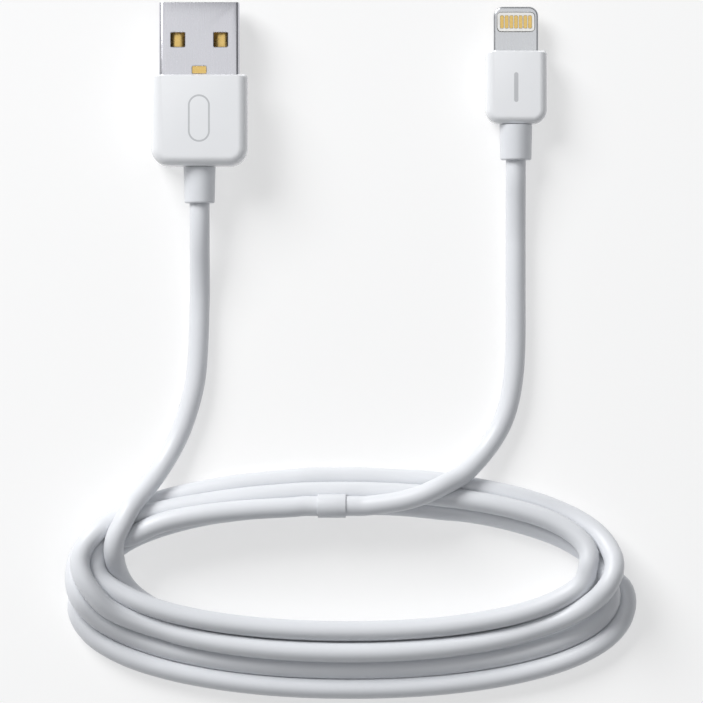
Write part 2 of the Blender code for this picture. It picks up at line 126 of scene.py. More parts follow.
def add_panel(name, place, width, power):
    """A square soft light at a place, turned towards the middle of the cable."""
    data = bpy.data.lights.new(name, "AREA")
    data.size = width
    data.energy = power
    light = add_to_scene(name, data)
    light.location = place
    light.rotation_euler = (VIEW_CENTRE - Vector(place)).to_track_quat("-Z", "Y").to_euler()


def add_sky():
    world = bpy.data.worlds.new("studio")
    world.use_nodes = True
    background = world.node_tree.nodes["Background"]
    background.inputs["Color"].default_value = SKY_COLOUR
    background.inputs["Strength"].default_value = SKY_STRENGTH
    bpy.context.scene.world = world
    bpy.context.scene.view_settings.view_transform = "Standard"


def add_floor():
    corners = [(x * FLOOR_HALF, y * FLOOR_HALF, 0.0) for x, y in ((-1, -1), (1, -1), (1, 1), (-1, 1))]
    mesh = bpy.data.meshes.new("floor")
    mesh.from_pydata(corners, [], [(0, 1, 2, 3)])
    material = bpy.data.materials.new("floor_paper")
    material.use_nodes = True
    sockets = material.node_tree.nodes["Principled BSDF"].inputs
    sockets["Base Color"].default_value = (FLOOR_GREY, FLOOR_GREY, FLOOR_GREY, 1.0)
    sockets["Emission Color"].default_value = (1.0, 1.0, 1.0, 1.0)
    sockets["Emission Strength"].default_value = FLOOR_GLOW
    sockets["Roughness"].default_value = 1.0
    sockets["Specular IOR Level"].default_value = 0.0
    mesh.materials.append(material)
    add_to_scene("floor", mesh)


for name, (place, width, power) in PANELS.items():
    add_panel(name, place, width, power)
add_sky()
add_floor()
print(len(PANELS), "soft lights over a floor", 2 * FLOOR_HALF, "m wide")

# %% [markdown]
# Materials are easier to read as arithmetic than as a web of nodes. A `Signal` wraps one socket,
# and `+`, `-` and `*` on it add Math nodes. A `Finish` owns one material and adds any other
# node with one method.

# %% Shader arithmetic
class Signal:
    """A number that varies over the surface; arithmetic on it adds Math nodes."""

    def __init__(self, finish, socket):
        self.finish = finish
        self.socket = socket

    def maths(self, operation, *values):
        return self.finish.node("ShaderNodeMath", {"operation": operation}, dict(enumerate(values)))

    def __add__(self, other):
        return self.maths("ADD", self, other)

    def __sub__(self, other):
        return self.maths("SUBTRACT", self, other)

    def __rsub__(self, other):
        return self.maths("SUBTRACT", other, self)

    def __mul__(self, other):
        return self.maths("MULTIPLY", self, other)

    def __abs__(self):
        return self.maths("ABSOLUTE", self)

    def at_least(self, other):
        return self.maths("MAXIMUM", self, other)

    def length_with(self, other):
        return self.maths("SQRT", self * self + other * other)

    def above(self, edge, softness):
        """0 below the edge and 1 above it, with a soft step between."""
        ends = {"Value": self, "From Min": edge - softness, "From Max": edge + softness}
        return self.finish.node("ShaderNodeMapRange", {"interpolation_type": "SMOOTHSTEP"}, ends)

    __radd__ = __add__
    __rmul__ = __mul__


# %% A finish
MIX_FACTOR, MIX_FIRST, MIX_SECOND, MIX_COLOUR = 0, 6, 7, 2   # the Mix node's colour sockets


class Finish:
    """One material, built around its Principled shader."""

    def __init__(self, name, colour, roughness, metallic=0.0):
        self.material = bpy.data.materials.new(name)
        self.material.use_nodes = True
        self.tree = self.material.node_tree
        self.shader = self.tree.nodes["Principled BSDF"]
        self.paint("Base Color", colour)
        self.paint("Roughness", roughness)
        self.paint("Metallic", metallic)

    def feed(self, socket, value):
        """Link a signal to a socket, or set a plain value on it."""
        if isinstance(value, Signal):
            self.tree.links.new(value.socket, socket)
        else:
            socket.default_value = (*value, 1.0) if socket.type == "RGBA" else value

    def node(self, kind, settings=None, sockets=None, output=0):
        """Add any node: its settings first, then its sockets by name or by number."""
        made = self.tree.nodes.new(kind)
        for name, value in (settings or {}).items():
            setattr(made, name, value)
        for key, value in (sockets or {}).items():
            self.feed(made.inputs[key], value)
        return Signal(self, made.outputs[output])

    def place(self):
        """The point on the surface, in the object's own metres."""
        return self.node("ShaderNodeTexCoord", output="Object")

    def axes(self):
        """The surface point's X, Y and Z, each as a number."""
        here = {"Vector": self.place()}
        return [self.node("ShaderNodeSeparateXYZ", None, here, axis) for axis in "XYZ"]

    def stretched(self, scale):
        """The surface point with each axis stretched, for grain that runs one way."""
        return self.node("ShaderNodeMapping", None, {"Vector": self.place(), "Scale": scale})

    def noise(self, scale, detail=3.0, vector=None):
        sockets = {"Vector": vector or self.place(), "Scale": scale, "Detail": detail}
        return self.node("ShaderNodeTexNoise", None, sockets)

    def mix(self, mask, first, second):
        sockets = {MIX_FACTOR: mask, MIX_FIRST: first, MIX_SECOND: second}
        return self.node("ShaderNodeMix", {"data_type": "RGBA"}, sockets, MIX_COLOUR)

    def paint(self, name, value):
        self.feed(self.shader.inputs[name], value)

    def bump(self, height, strength, distance):
        sockets = {"Strength": strength, "Distance": distance, "Height": height}
        self.paint("Normal", self.node("ShaderNodeBump", None, sockets))


def shade(colour, factor):
    return tuple(channel * factor for channel in colour)


# %% [markdown]
# The cord's jacket is a soft white plastic with a satin skin. Under a loupe the skin has a fine
# grain from the extruder's die, which breaks up its highlight, and its white drifts a little.
# A noise's scale says how many of its cells lie along a metre.

# %% Cord jacket
WHITE = (0.73, 0.745, 0.775)
SLOW_DRIFT, DIE_GRAIN = 160.0, 9000.0


def cord_jacket():
    finish = Finish("cord_jacket", WHITE, 0.42)
    drift = finish.noise(SLOW_DRIFT)
    grain = finish.noise(DIE_GRAIN, 2.0)
    finish.paint("Base Color", finish.mix(drift, shade(WHITE, 0.975), shade(WHITE, 1.02)))
    finish.paint("Roughness", 0.36 + 0.12 * grain)
    finish.bump(grain, 0.12, 0.03 * MM)
    return finish.material


# %% [markdown]
# The grips and collars are hard, glossy mouldings of the same white. Each grip has a plain
# printed mark: an open ring on the large plug and a short bar on the small one. A mark is worked
# out from the distance to a line, so it stays sharp at any size. The two halves of the mould
# leave a hair-thin line around the middle of a grip, which the bump draws as a groove; its grey
# colour is painted shade in that groove.

# %% Glossy mouldings and their marks
GLOSS_WHITE = (0.86, 0.87, 0.89)
MARK_GREY = (0.54, 0.55, 0.57)
MARK_HALF_LENGTH = 1.9 * MM
RING_RADIUS, RING_HALF_LINE = 1.5 * MM, 0.13 * MM
BAR_HALF_WIDTH = 0.32 * MM
MARK_DEPTH = 0.4 * MM      # below a grip's top, where the printing ends
PARTING_HALF_LINE = 0.04 * MM
MARK_SOFTNESS, LINE_SOFTNESS = 0.03 * MM, 0.02 * MM
RIPPLE, PEBBLE = 260.0, 1500.0


def distance_to_bar(axes, centre, radius):
    """The distance to a bar with round ends that runs along Y, below 0 inside it."""
    x, y, _ = axes
    along = (abs(y - centre[1]) - MARK_HALF_LENGTH).at_least(0.0)
    return (x - centre[0]).length_with(along) - radius


def open_ring(axes, centre):
    return 1 - abs(distance_to_bar(axes, centre, RING_RADIUS)).above(RING_HALF_LINE, MARK_SOFTNESS)


def plain_bar(axes, centre):
    return 1 - distance_to_bar(axes, centre, BAR_HALF_WIDTH).above(0.0, MARK_SOFTNESS)


def glossy_moulding(name, mark=None, centre=None, box=None):
    """A gloss plastic; with a mark, it also gets the parting line of the grip in the box."""
    finish = Finish(name, GLOSS_WHITE, 0.22)
    finish.paint("Coat Weight", 0.35)
    finish.paint("Coat Roughness", 0.08)
    ripple = finish.noise(RIPPLE, 2.0)
    colour = finish.mix(ripple, shade(GLOSS_WHITE, 0.985), shade(GLOSS_WHITE, 1.01))
    height = 0.3 * finish.noise(PEBBLE, 2.0)
    if mark:
        bottom, top = box[0].z, box[1].z
        axes = finish.axes()
        printed = mark(axes, centre) * axes[2].above(top - MARK_DEPTH, LINE_SOFTNESS)
        parting_groove_and_shade = 1 - abs(axes[2] - (bottom + top) / 2).above(PARTING_HALF_LINE, LINE_SOFTNESS)
        colour = finish.mix(printed, colour, MARK_GREY)
        # painted shade: the parting line's groove is darkened to a grey in the colour
        colour = finish.mix(parting_groove_and_shade, colour, shade(GLOSS_WHITE, 0.8))
        height = height - 2.0 * parting_groove_and_shade - 1.0 * printed
    finish.paint("Base Color", colour)
    finish.paint("Roughness", 0.18 + 0.08 * ripple)
    finish.bump(height, 0.15, 0.04 * MM)
    return finish.material


# %% [markdown]
# Rolled steel keeps the marks of the rollers: fine lines along the strip. Noise that is
# stretched along Y gives them, in the roughness and in a very shallow bump.

# %% Metals
ROLLED_LINES = (5000.0, 200.0, 5000.0)
STAIN, WEAR = 220.0, 2600.0


def brushed_metal(name, colour, roughness):
    finish = Finish(name, colour, roughness, 1.0)
    lines = finish.noise(1.0, 4.0, finish.stretched(ROLLED_LINES))
    stain = finish.noise(STAIN)
    finish.paint("Base Color", finish.mix(stain, shade(colour, 0.95), shade(colour, 1.03)))
    finish.paint("Roughness", (roughness - 0.04) + 0.08 * lines)
    finish.bump(lines, 0.03, 0.01 * MM)
    return finish.material


def plated_gold():
    colour = (0.80, 0.54, 0.16)
    finish = Finish("contact_plating", colour, 0.24, 1.0)
    wear = finish.noise(WEAR)
    finish.paint("Base Color", finish.mix(wear, shade(colour, 0.88), (0.88, 0.64, 0.26)))
    finish.paint("Roughness", 0.18 + 0.16 * wear)
    return finish.material


# %% [markdown]
# Inside the grips sit the pieces that nobody sees until the plug is cut open: moulded plastic,
# coloured wire insulation, the control board and its parts. Each gets its own grain.

# %% Inner and satin finishes
SATIN_WHITE = (0.72, 0.735, 0.765)
TRACKS_SCALE, TRACKS_WOBBLE = 700.0, 1.5


def grained(name, colour, roughness, grain_scale=1800.0, contrast=0.06):
    finish = Finish(name, colour, roughness)
    grain = finish.noise(grain_scale)
    dark, light = shade(colour, 1 - contrast), shade(colour, 1 + contrast)
    finish.paint("Base Color", finish.mix(grain, dark, light))
    finish.paint("Roughness", (roughness - 0.06) + 0.12 * grain)
    finish.bump(grain, 0.1, 0.02 * MM)
    return finish.material


def solder_mask():
    green = (0.04, 0.22, 0.10)
    finish = Finish("solder_mask", green, 0.35)
    sockets = {"Vector": finish.place(), "Scale": TRACKS_SCALE, "Distortion": TRACKS_WOBBLE}
    copper = finish.node("ShaderNodeTexWave", {"bands_direction": "X"}, sockets, "Fac").above(0.8, 0.05)
    finish.paint("Base Color", finish.mix(copper, green, (0.07, 0.32, 0.15)))
    finish.paint("Roughness", 0.3 + 0.1 * finish.noise(900.0))
    finish.bump(copper, 0.2, 0.03 * MM)
    return finish.material


# %% All finishes, by the record's material slots
def box_of(node):
    """A CAD node's lowest and highest corners."""
    return [Vector(corner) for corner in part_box(node)]


def marked_grip(name, node, mark, shift):
    """A grip's finish, with its mark a little off the middle of the grip."""
    box = box_of(node)
    centre = ((box[0].x + box[1].x) / 2, (box[0].y + box[1].y) / 2 + shift)
    return glossy_moulding(name, mark, centre, box)


FINISHES = {
    "white_cord": cord_jacket(),
    "white_plastic": glossy_moulding("glossy_white"),
    "satin_white": grained("satin_white", SATIN_WHITE, 0.38, 1500.0, 0.015),
    "usb_grip": marked_grip("usb_grip_white", "usb_overmould", open_ring, 0.25 * MM),
    "tab_grip": marked_grip("tab_grip_white", "tab_overmould", plain_bar, -0.05 * MM),
    "shell_steel": brushed_metal("shell_steel_rolled", (0.68, 0.68, 0.72), 0.28),
    "tab_steel": brushed_metal("tab_steel_plated", (0.65, 0.66, 0.68), 0.28),
    "can_steel": brushed_metal("can_steel_stamped", (0.55, 0.56, 0.58), 0.40),
    "contact_gold": plated_gold(),
    "insulator": grained("insulator_white", (0.85, 0.84, 0.80), 0.45),
    "tab_insulator": grained("insert_white", (0.88, 0.87, 0.84), 0.35),
    "inner_mould": grained("inner_mould_white", (0.76, 0.77, 0.76), 0.5),
    "board_green": solder_mask(),
    "chip_black": grained("chip_epoxy", (0.03, 0.03, 0.035), 0.45, 4000.0, 0.3),
    "ceramic": grained("capacitor_ceramic", (0.50, 0.38, 0.27), 0.45, 3000.0, 0.15),
    "wire_red": grained("wire_red_skin", (0.60, 0.03, 0.025), 0.4),
    "wire_white": grained("wire_white_skin", (0.82, 0.82, 0.80), 0.4),
    "wire_green": grained("wire_green_skin", (0.03, 0.30, 0.07), 0.4),
    "wire_black": grained("wire_black_skin", (0.02, 0.02, 0.02), 0.4),
}

for part in frame["record"]["subparts"]:
    node = bpy.data.objects[part["node"]]
    node.data.materials.clear()
    node.data.materials.append(FINISHES[part["material_slot"]])

# %% [markdown]
# ## The hard pieces
#
# Every moulding here is a stack of outlines skinned into a closed solid. The model already says
# where each one is and how large, so the finer pieces are built around the same boxes, with
# rounder edges, real mouths and chamfered windows, and then stand in for the plain ones.

# %% Outlines and skins
CORNER_STEPS = 8


def rounded_outline(low, high, radii, steps=CORNER_STEPS):
    """A rectangle's outline with a radius for each corner, anticlockwise from the low corner."""
    corners = (low[0], low[1], 180), (high[0], low[1], 270), (high[0], high[1], 0), (low[0], high[1], 90)
    points = []
    for (x, y, start), radius in zip(corners, radii):
        pivot_x = x + (radius if x == low[0] else -radius)
        pivot_y = y + (radius if y == low[1] else -radius)
        for step in range(steps + 1):
            angle = math.radians(start + 90 * step / steps)
            points.append((pivot_x + radius * math.cos(angle), pivot_y + radius * math.sin(angle)))
    return points


def skin(loops, closed=False):
    """Faces between equal loops of points; the ends are capped unless the last joins the first."""
    bm = bmesh.new()
    rings = [[bm.verts.new(point) for point in loop] for loop in loops]
    count = len(rings[0])
    pairs = list(zip(rings, rings[1:])) + ([(rings[-1], rings[0])] if closed else [])
    for low, high in pairs:
        for i in range(count):
            j = (i + 1) % count
            bm.faces.new((low[i], low[j], high[j], high[i]))
    if not closed:
        bm.faces.new(list(reversed(rings[0])))
        bm.faces.new(rings[-1])
    return bm


def prism(low, high, radius, z_low, z_high, flare=0.0):
    """A closed upright prism with round corners, flared at both ends to chamfer what it cuts."""
    levels = [(z_low, 0.0), (z_high, 0.0)]
    if flare:
        levels = [(z_low, flare), (z_low + flare, 0.0), (z_high - flare, 0.0), (z_high, flare)]
    loops = []
    for z, grow in levels:
        outline = rounded_outline(
            (low[0] - grow, low[1] - grow), (high[0] + grow, high[1] + grow), [radius + grow] * 4, 5
        )
        loops.append([(x, y, z) for x, y in outline])
    return skin(loops)


# %% [markdown]
# Four helpers take a shape to its finished piece: one makes it an object with a finish, one
# turns live modifiers into a plain mesh, one cuts holes with closed tools, and one says which
# body the piece rides on and which plain solids it stands for.

# %% From shape to piece
def smooth_with_edges(mesh, sharp):
    mesh.shade_smooth()
    mesh.set_sharp_from_angle(angle=math.radians(sharp))


def as_piece(name, bm, at, finish, sharp=40):
    """Place a bmesh that was built around the origin, and make it an object with a finish."""
    bmesh.ops.translate(bm, vec=at, verts=bm.verts)
    bmesh.ops.recalc_face_normals(bm, faces=bm.faces)
    mesh = bpy.data.meshes.new(name)
    bm.to_mesh(mesh)
    bm.free()
    smooth_with_edges(mesh, sharp)
    mesh.materials.append(FINISHES[finish])
    return add_to_scene(name, mesh)


def plain_result(item):
    """The mesh that an object's modifiers make, as plain data."""
    bpy.context.view_layer.update()
    graph = bpy.context.evaluated_depsgraph_get()
    return bpy.data.meshes.new_from_object(item.evaluated_get(graph))


def make_plain(piece, sharp):
    """Keep the result of a piece's modifiers, and clear them away."""
    piece.data = plain_result(piece)
    piece.modifiers.clear()
    piece.data.name = piece.name
    smooth_with_edges(piece.data, sharp)


def cut_away(piece, tools, sharp=40):
    """Subtract closed tools from a piece and remove them."""
    for tool in tools:
        cut = piece.modifiers.new("cut", "BOOLEAN")
        cut.operation = "DIFFERENCE"
        cut.solver = "EXACT"
        cut.object = tool
    make_plain(piece, sharp)
    for tool in tools:
        bpy.data.objects.remove(tool, do_unlink=True)


def stand_for(piece, body, slot, *nodes):
    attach(piece, body)
    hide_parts(*nodes)
    print(piece.name, "has", len(piece.data.polygons), "faces and stands for", ", ".join(nodes))


# %% [markdown]
# A grip is a pillow: a rounded rectangle from above, and its upper and lower edges rolled over a
# quarter circle. The roll is what catches the long highlight down the left side. The front edge,
# around the metal, stays nearly square. Two boxes are cut out: one for the plug's inside, and one
# for the mouth around the metal.

# %% Grips
FRONT_ROLL = 0.25 * MM
HOLE_CORNER = 0.3 * MM
# each hole's half width, rear, front and half height, in mm
USB_HOLES = [(6.15, -8.5, 3.2, 2.9), (6.06, -1.0, 5.2, 2.31)]
TAB_HOLES = [(3.8, -2.4, 6.9, 1.8), (3.41, 5.14, 8.9, 0.81)]


def pillow(width, rear, front, thickness, radii, roll, front_roll, steps=10):
    front_radius, rear_radius = radii
    loops = []
    for side, step in [(-1, s) for s in range(steps + 1)] + [(1, s) for s in range(steps, -1, -1)]:
        turn = math.radians(90 * step / steps)
        inset = roll * (1 - math.sin(turn))
        z = side * (thickness / 2 - roll * (1 - math.cos(turn)))
        rear_corner, front_corner = (max(r - inset, 0.3 * r) for r in (rear_radius, front_radius))
        outline = rounded_outline(
            (-width / 2 + inset, rear + inset), (width / 2 - inset, front - min(inset, front_roll)),
            [rear_corner, rear_corner, front_corner, front_corner],
        )
        loops.append([(x, y, z) for x, y in outline])
    return skin(loops)


def centreline(low, high):
    """Where a piece's own centreline lies: the middle of its box in X and Z."""
    return Vector(((low.x + high.x) / 2, 0.0, (low.z + high.z) / 2))


def grip(name, node, body, radii, roll, holes):
    """A grip in a node's box; its finish has the grip's own name."""
    low, high = box_of(node)
    centre = centreline(low, high)
    shape = pillow(high.x - low.x, low.y, high.y, high.z - low.z, radii, roll, FRONT_ROLL)
    made = as_piece(name, shape, centre, name)
    tools = []
    for hole in holes:
        half_x, rear, front, half_z = (size * MM for size in hole)
        cutter = prism((-half_x, rear), (half_x, front), HOLE_CORNER, -half_z, half_z)
        tools.append(as_piece(name + "_tool", cutter, centre, name))
    cut_away(made, tools)
    stand_for(made, body, "white_plastic", node)


grip("usb_grip", "usb_overmould", "usb_plug", (0.5 * MM, 2.7 * MM), 1.5 * MM, USB_HOLES)
grip("tab_grip", "tab_overmould", "tab_plug", (0.6 * MM, 2.1 * MM), 1.2 * MM, TAB_HOLES)

# %% [markdown]
# A collar keeps the cord from kinking where it leaves the grip. It is turned like a vase: a slow
# taper, a rolled end and a real bore that the cord comes out of. One helper turns it from a list
# of stations, each a place along the axis and a radius.

# %% Collars
CORD_BORE = 1.54 * MM      # a hair wider than the cord's own radius
BORE_DEPTH, BORE_EDGE = 1.2 * MM, 0.05 * MM
COLLAR_ROLL, ROLL_STEPS = 0.3 * MM, 8
# where the cord leaves each plug
USB_EXIT = Vector((-22.4, -15.0, 4.0)) * MM
TAB_EXIT = Vector((25.0, -8.5, 2.6)) * MM


def turned(stations, around="Y", closed=False, sides=48):
    """A solid of revolution: stations are (place along the axis, radius)."""
    loops = []
    for along, radius in stations:
        loop = []
        for i in range(sides):
            angle = math.tau * i / sides
            across, up = radius * math.cos(angle), radius * math.sin(angle)
            loop.append((across, along, up) if around == "Y" else (along, across, up))
        loops.append(loop)
    return skin(loops, closed)


def collar(name, node, body, exit_point, wide, narrow):
    low, high = box_of(node)
    stations = [(high.y, wide), (low.y + COLLAR_ROLL, narrow)]
    for step in range(1, ROLL_STEPS + 1):
        turn = math.radians(90 * step / ROLL_STEPS)
        along = low.y + COLLAR_ROLL * (1 - math.sin(turn))
        stations.append((along, narrow - COLLAR_ROLL * (1 - math.cos(turn))))
    stations += [(low.y + BORE_EDGE, CORD_BORE), (low.y + BORE_DEPTH, CORD_BORE)]
    at = Vector((exit_point.x, 0.0, exit_point.z))
    stand_for(as_piece(name, turned(stations), at, "satin_white"), body, "white_plastic", node)


collar("usb_relief", "usb_collar", "usb_plug", USB_EXIT, 2.4 * MM, 2.28 * MM)
collar("tab_relief", "tab_collar", "tab_plug", TAB_EXIT, 2.45 * MM, 2.35 * MM)

# %% [markdown]
# The keeper is a short sleeve that sits on the cord at the back of the coil. It is turned in the
# same way, around X, from a ring of stations that closes on itself.

# %% Keeper
KEEPER_LIP, LIP_STEPS = 0.1 * MM, 4
KEEPER_SHRINK = 0.08 * MM  # its wall stays this far inside the plain solid's


def keeper_ring():
    low, high = box_of("keeper_sleeve")
    half, outer = (high.x - low.x) / 2, (high.z - low.z) / 2 - KEEPER_SHRINK
    stations = [(-half, CORD_BORE)]
    edge = [(side, step) for side in (-1, 1) for step in range(LIP_STEPS + 1)[::-side]]
    for side, step in edge:
        turn = math.radians(90 * step / LIP_STEPS)
        along = side * (half - KEEPER_LIP * (1 - math.cos(turn)))
        stations.append((along, outer - KEEPER_LIP * (1 - math.sin(turn))))
    stations.append((half, CORD_BORE))
    shape = turned(stations, "X", closed=True)
    made = as_piece("keeper", shape, (low + high) / 2, "satin_white")
    stand_for(made, "keeper", "white_plastic", "keeper_sleeve")
    return made


keeper_piece = keeper_ring()

# %% [markdown]
# The large plug's shell is sheet steel folded into a box tube. Light lands on three things: the
# soft fold along each edge, the lip around the open end, and the rims of the two latch windows
# and the notch. The cutting tools are flared at the skin, which leaves a small chamfer.

# %% Folded shell
SHELL_WALL, SHELL_LIP = 0.3 * MM, 0.09 * MM
OUTER_FOLD, INNER_FOLD = 0.6 * MM, 0.25 * MM
SHELL_CHAMFER, WINDOW_CORNER = 0.1 * MM, 0.15 * MM
# two windows and the notch: middle X and Y, width and height, in mm
SHELL_WINDOWS = [(-3.2, 9.4, 2.1, 2.2), (3.2, 9.4, 2.1, 2.2), (0.0, 4.9, 2.1, 1.1)]
SEAM_HALF, SEAM_REAR, SEAM_CORNER, SEAM_TOP = 0.03 * MM, 5.0 * MM, 0.01 * MM, 0.2 * MM
CLEAR = 0.01 * MM          # how far a tool stands out of what it cuts


def shell_tube(half_x, half_z, rear, front):
    stations = [
        (rear, 0.0), (front - SHELL_LIP, 0.0), (front - 0.3 * SHELL_LIP, 0.3 * SHELL_LIP),
        (front, SHELL_LIP), (front, SHELL_WALL - SHELL_LIP), (front - SHELL_LIP, SHELL_WALL),
        (rear, SHELL_WALL),
    ]
    loops = []
    for y, inset in stations:
        fold = max(OUTER_FOLD - inset, INNER_FOLD)
        outline = rounded_outline(
            (-half_x + inset, -half_z + inset), (half_x - inset, half_z - inset), [fold] * 4
        )
        loops.append([(x, y, z) for x, z in outline])
    return skin(loops, closed=True)


def shell_tools(half_z, front):
    for x, y, width, height in SHELL_WINDOWS:
        low = ((x - width / 2) * MM, (y - height / 2) * MM)
        high = ((x + width / 2) * MM, (y + height / 2) * MM)
        yield prism(low, high, WINDOW_CORNER, -half_z - CLEAR, half_z + CLEAR, SHELL_CHAMFER)
    yield prism(
        (-SEAM_HALF, SEAM_REAR), (SEAM_HALF, front + MM), SEAM_CORNER, -half_z - MM, -half_z + SEAM_TOP
    )


def folded_shell():
    low, high = box_of("usb_shell")
    centre = centreline(low, high)
    half_x, half_z = (high.x - low.x) / 2, (high.z - low.z) / 2
    shell = as_piece("folded_shell", shell_tube(half_x, half_z, low.y, high.y), centre, "shell_steel")
    shapes = shell_tools(half_z, high.y)
    cut_away(shell, [as_piece("shell_tool", shape, centre, "shell_steel") for shape in shapes], 30)
    stand_for(shell, "usb_plug", "shell_steel", "usb_shell")


folded_shell()

# %% [markdown]
# Under the windows lie the large plug's four spring contacts. The outer two widen into pads there,
# and a small plated earthing spring lies under the notch, so gold shows through every opening.
# Each is cut from flat strip, so it is an outline with a thickness.

# %% Contacts and earthing spring
# each contact's front end, and its pad's two sides, in mm
PLUG_CONTACTS = {
    "power": (13.2, (-0.9, 1.5)), "data_minus": (12.2, None),
    "data_plus": (12.2, None), "ground": (13.2, (-1.5, 0.9)),
}
TAIL, NOSE, TAPER = -3.2, 0.28, 0.35
STRIP_HALF = 0.5
PAD_ROOT, PAD_REAR, PAD_FRONT, PAD_TIP = 7.6, 8.0, 10.8, 11.2
CONTACT_BEVEL = 0.04 * MM
SPRING_OUTLINE = [(-1.3, 1.0), (1.3, 1.0), (1.3, 5.7), (-1.3, 5.7)]
SPRING_GAP, SHELL_GAP = 0.01 * MM, 0.32 * MM


def strip(outline, z_low, z_high):
    """A flat plate with any outline, given in mm around a centreline."""
    return skin([[(x * MM, y * MM, z) for x, y in outline] for z in (z_low, z_high)])


def contact_outline(front, pad):
    """A contact from above: a strip with a tapered nose, and a wider pad where there is a window."""
    sides = []
    for side in (1, -1):
        edge = side * STRIP_HALF
        line = [(edge, TAIL)]
        if pad:
            wide = pad[1] if side > 0 else pad[0]
            line += [(edge, PAD_ROOT), (wide, PAD_REAR), (wide, PAD_FRONT), (edge, PAD_TIP)]
        sides.append(line + [(edge, front - TAPER), (side * NOSE, front)])
    return sides[0] + sides[1][::-1]


def plug_contacts():
    for name, (front, pad) in PLUG_CONTACTS.items():
        node = f"usb_contact_{name}"
        low, high = box_of(node)
        shape = strip(contact_outline(front, pad), low.z, high.z)
        at = Vector(((low.x + high.x) / 2, 0.0, 0.0))
        made = as_piece(f"spring_contact_{name}", shape, at, "contact_gold", 20)
        bevel = made.modifiers.new("edge", "BEVEL")
        bevel.width, bevel.segments, bevel.limit_method = CONTACT_BEVEL, 2, "ANGLE"
        make_plain(made, 30)
        stand_for(made, "usb_plug", "contact_gold", node)


def earthing_spring():
    shell_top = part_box("usb_shell")[1][2]
    holder_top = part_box("usb_contact_holder")[1][2]
    shape = strip(SPRING_OUTLINE, holder_top + SPRING_GAP, shell_top - SHELL_GAP)
    made = as_piece("earthing_spring", shape, Vector((USB_EXIT.x, 0.0, 0.0)), "contact_gold", 20)
    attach(made, "usb_plug")
    print(made.name, "stands for no plain solid")


plug_contacts()
earthing_spring()

# %% [markdown]
# The small plug's tab is a steel frame around a moulded insert, with seven gold contacts in a
# row on each face. A row is one shape repeated at an even pitch, so Geometry Nodes make it: a
# rounded pad, placed on the points of a line. First come the helpers that any tree here uses.

# %% Building and running a tree
def new_tree(name, inputs):
    """An empty Geometry Nodes tree with named inputs; returns the tree and its group sockets."""
    tree = bpy.data.node_groups.new(name, "GeometryNodeTree")
    tree.interface.new_socket("Geometry", in_out="INPUT", socket_type="NodeSocketGeometry")
    tree.interface.new_socket("Geometry", in_out="OUTPUT", socket_type="NodeSocketGeometry")
    for label, kind in inputs:
        tree.interface.new_socket(label, in_out="INPUT", socket_type=kind)
    source = tree.nodes.new("NodeGroupInput")
    return tree, source.outputs


def tree_node(tree, kind, settings=None, **links):
    made = tree.nodes.new(kind)
    for name, value in (settings or {}).items():
        setattr(made, name, value)
    for name, value in links.items():
        socket = made.inputs[name.replace("_", " ")]
        if isinstance(value, bpy.types.NodeSocket):
            tree.links.new(value, socket)
        else:
            socket.default_value = value
    return made.outputs


def finish_tree(tree, geometry, material):
    """Every tree ends the same way: real geometry, its material, and the output."""
    real = tree_node(tree, "GeometryNodeRealizeInstances", Geometry=geometry)
    painted = tree_node(tree, "GeometryNodeSetMaterial", Geometry=real[0], Material=material)
    output = tree.nodes.new("NodeGroupOutput")
    tree.links.new(painted[0], output.inputs[0])
    return tree


def run_tree(name, mesh, tree, **values):
    """Run a tree on a mesh with its inputs set by identifier, and keep the plain result."""
    host = add_to_scene(name + "_host", mesh)
    modifier = host.modifiers.new("nodes", "NODES")
    modifier.node_group = tree
    for item in tree.interface.items_tree:
        if item.in_out == "INPUT" and item.name in values:
            modifier[item.identifier] = values[item.name]
    plain = plain_result(host)
    bpy.data.objects.remove(host, do_unlink=True)
    plain.name = name
    return add_to_scene(name, plain)


# %% [markdown]
# The pad is a filleted rectangle, filled and raised, and closed underneath by a flipped copy of
# the same face. The same tree with slightly larger sizes makes the tool that cuts the contacts'
# pockets in the insert.

# %% A row of contacts in Geometry Nodes
CORNER_POINTS, WELD = 5, 1e-7


def contact_row_tree():
    tree, given = new_tree("contact_row", [
        ("Count", "NodeSocketInt"), ("Pitch", "NodeSocketFloat"), ("Start", "NodeSocketFloat"),
        ("Width", "NodeSocketFloat"), ("Length", "NodeSocketFloat"), ("Corner", "NodeSocketFloat"),
        ("Thickness", "NodeSocketFloat"), ("Finish", "NodeSocketMaterial"),
    ])
    outline = tree_node(
        tree, "GeometryNodeCurvePrimitiveQuadrilateral", Width=given["Width"], Height=given["Length"]
    )
    rounded = tree_node(
        tree, "GeometryNodeFilletCurve", {"mode": "POLY"},
        Curve=outline[0], Radius=given["Corner"], Count=CORNER_POINTS,
    )
    face = tree_node(tree, "GeometryNodeFillCurve", {"mode": "NGONS"}, Curve=rounded[0])
    under = tree_node(tree, "GeometryNodeFlipFaces", Mesh=face[0])
    raised = tree_node(
        tree, "GeometryNodeExtrudeMesh",
        Mesh=face[0], Offset_Scale=given["Thickness"], Individual=False,
    )
    pad = tree.nodes.new("GeometryNodeJoinGeometry")
    for side in (under[0], raised[0]):
        tree.links.new(side, pad.inputs[0])
    whole = tree_node(
        tree, "GeometryNodeMergeByDistance", Geometry=pad.outputs[0], Distance=WELD
    )
    step = tree_node(tree, "ShaderNodeCombineXYZ", X=given["Pitch"])
    first = tree_node(tree, "ShaderNodeCombineXYZ", X=given["Start"])
    line = tree_node(
        tree, "GeometryNodeMeshLine", Count=given["Count"], Start_Location=first[0], Offset=step[0]
    )
    row = tree_node(tree, "GeometryNodeInstanceOnPoints", Points=line[0], Instance=whole[0])
    return finish_tree(tree, row[0], given["Finish"])


